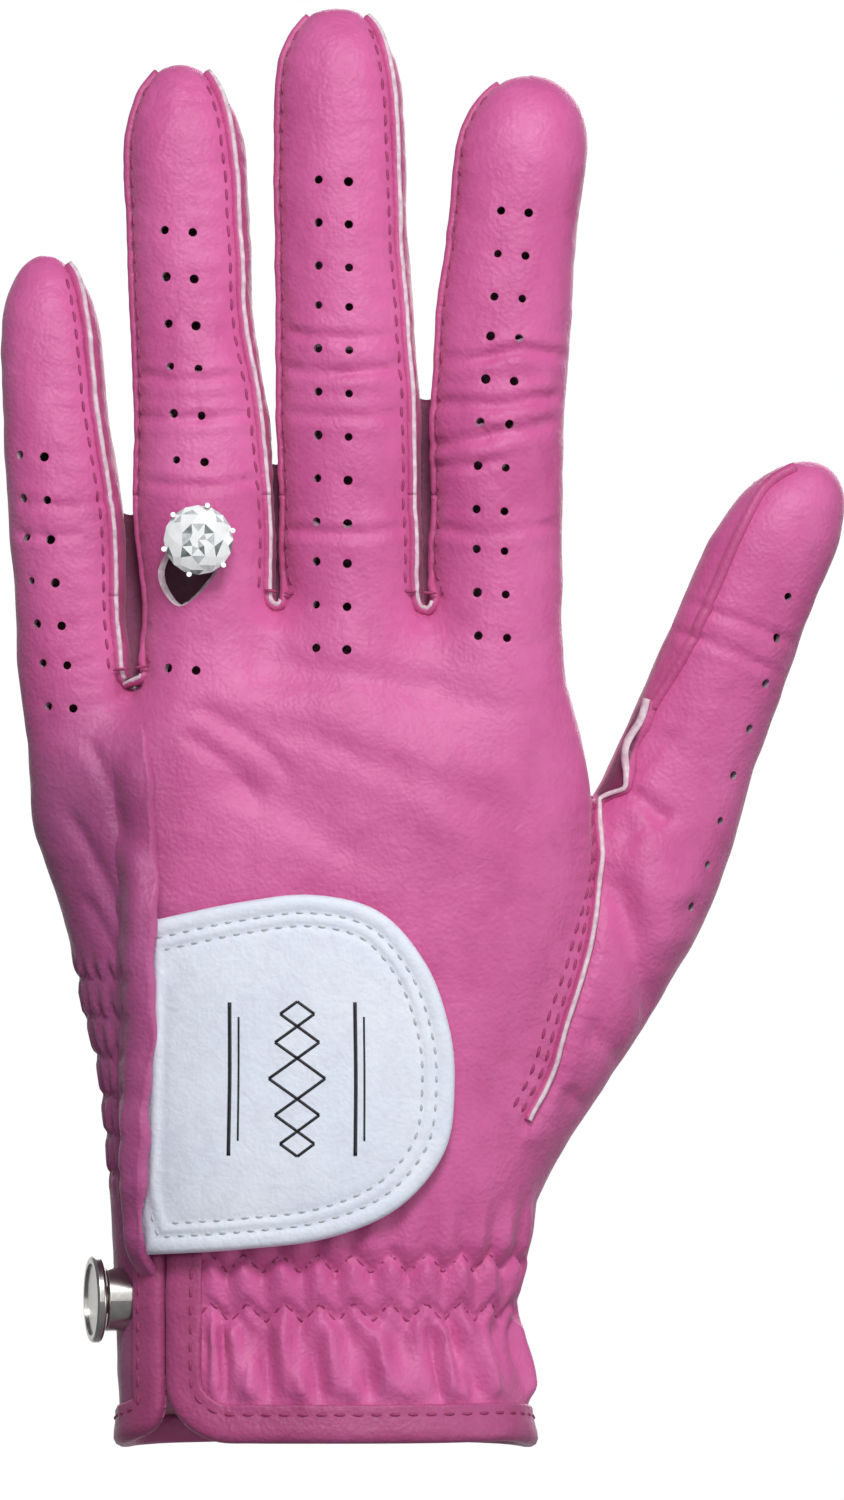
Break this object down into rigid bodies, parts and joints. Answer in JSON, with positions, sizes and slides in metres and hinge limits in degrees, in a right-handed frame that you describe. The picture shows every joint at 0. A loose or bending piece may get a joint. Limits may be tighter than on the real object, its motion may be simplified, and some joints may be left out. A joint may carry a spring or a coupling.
{
  "type": "golf glove",
  "caption": "Left-hand leather golf glove in its worn shape, with bending fingers, an opening tab closure and a pull-off ball marker.",
  "frame": {"origin": "middle of the wrist opening, at the hem", "axes": "+Z from the wrist to the fingertips, -Y out of the back of the hand, +X towards the thumb"},
  "size_m": [0.1171, 0.0393, 0.1996],
  "materials": {
    "leather": "soft full-grain glove leather, pink, fine grain, slight sheen",
    "strip_leather": "thinner pink leather of the strips between the fingers",
    "binding": "pink leather folded over the edge and stitched",
    "tab_leather": "smooth white coated leather with double stitching",
    "elastic": "flat woven elastic",
    "loop_tape": "brushed loop tape",
    "hook_tape": "moulded hooks on tape",
    "nickel": "nickel-plated press stud",
    "marker_metal": "plated disc with a plain enamelled face",
    "ring_metal": "polished white metal",
    "stone": "faceted clear stone"
  },
  "bodies": {
    "hand": {"back_panel": "leather", "palm_panel": "leather", "thumb_panel": "leather", "thumb_strip": "strip_leather", "hem_binding": "binding", "slit_facing_back": "binding", "slit_facing_palm": "binding", "wrist_elastic_back": "elastic", "wrist_elastic_palm": "elastic", "side_elastic": "elastic", "loop_patch": "loop_tape", "tab_root": "tab_leather", "slit_fold": "leather", "stud_socket": "nickel", "stud_cap": "nickel", "knuckle_crease": "leather", "thumb_crease": "leather"},
    "knuckles": {"knuckle_back_panel": "leather", "knuckle_palm_panel": "leather", "forked_strip_little_ring": "strip_leather", "forked_strip_ring_middle": "strip_leather", "forked_strip_middle_index": "strip_leather", "ring_band_and_claws": "ring_metal", "ring_stone": "stone", "little_crease": "leather", "ring_crease": "leather", "middle_crease": "leather", "index_crease": "leather"},
    "little_finger": {"little_tip_wrap": "leather", "little_tip_strip_radial": "strip_leather"},
    "ring_finger": {"ring_tip_back": "leather", "ring_tip_palm": "leather", "ring_tip_strip_radial": "strip_leather", "ring_tip_strip_ulnar": "strip_leather"},
    "middle_finger": {"middle_tip_back": "leather", "middle_tip_palm": "leather", "middle_tip_strip_radial": "strip_leather", "middle_tip_strip_ulnar": "strip_leather"},
    "index_finger": {"index_tip_back": "leather", "index_tip_palm": "leather", "index_tip_strip_ulnar": "strip_leather"},
    "thumb": {"thumb_tip_panel": "leather", "thumb_tip_strip": "strip_leather"},
    "tab": {"closure_tab": "tab_leather", "hook_patch": "hook_tape"},
    "marker": {"ball_marker": "marker_metal"}
  },
  "joints": [
    {"name": "knuckle_bend", "type": "hinge", "parent": "hand", "child": "knuckles", "pos_m": [0, 0, 0.101], "axis": [-1, 0, 0], "range_deg": [0, 60], "stiffness_Nm_per_rad": 0.03, "deforming": ["knuckle_crease"]},
    {"name": "little_bend", "type": "hinge", "parent": "knuckles", "child": "little_finger", "pos_m": [-0.03606, 0.00136, 0.13], "axis": [-1, 0, 0], "range_deg": [0, 80], "stiffness_Nm_per_rad": 0.006, "deforming": ["little_crease"]},
    {"name": "ring_bend", "type": "hinge", "parent": "knuckles", "child": "ring_finger", "pos_m": [-0.01724, 0.00084, 0.143], "axis": [-1, 0, 0], "range_deg": [0, 80], "stiffness_Nm_per_rad": 0.006, "deforming": ["ring_crease"]},
    {"name": "middle_bend", "type": "hinge", "parent": "knuckles", "child": "middle_finger", "pos_m": [0.00322, 0.00109, 0.148], "axis": [-1, 0, 0], "range_deg": [0, 80], "stiffness_Nm_per_rad": 0.006, "deforming": ["middle_crease"]},
    {"name": "index_bend", "type": "hinge", "parent": "knuckles", "child": "index_finger", "pos_m": [0.02444, 0.00104, 0.147], "axis": [-1, 0, 0], "range_deg": [0, 80], "stiffness_Nm_per_rad": 0.006, "deforming": ["index_crease"]},
    {"name": "thumb_bend", "type": "hinge", "parent": "hand", "child": "thumb", "pos_m": [0.05629, 0.00906, 0.111], "axis": [-0.9397, 0, 0.342], "range_deg": [0, 60], "stiffness_Nm_per_rad": 0.006, "deforming": ["thumb_crease"]},
    {"name": "tab_open", "type": "hinge", "parent": "hand", "child": "tab", "pos_m": [-0.0228, -0.0146, 0.0515], "axis": [0, 0, -1], "range_deg": [0, 110]},
    {"name": "marker_pull", "type": "slide", "parent": "hand", "child": "marker", "axis": [-0.9781, -0.2079, 0], "range_m": [0, 0.01]}
  ]
}
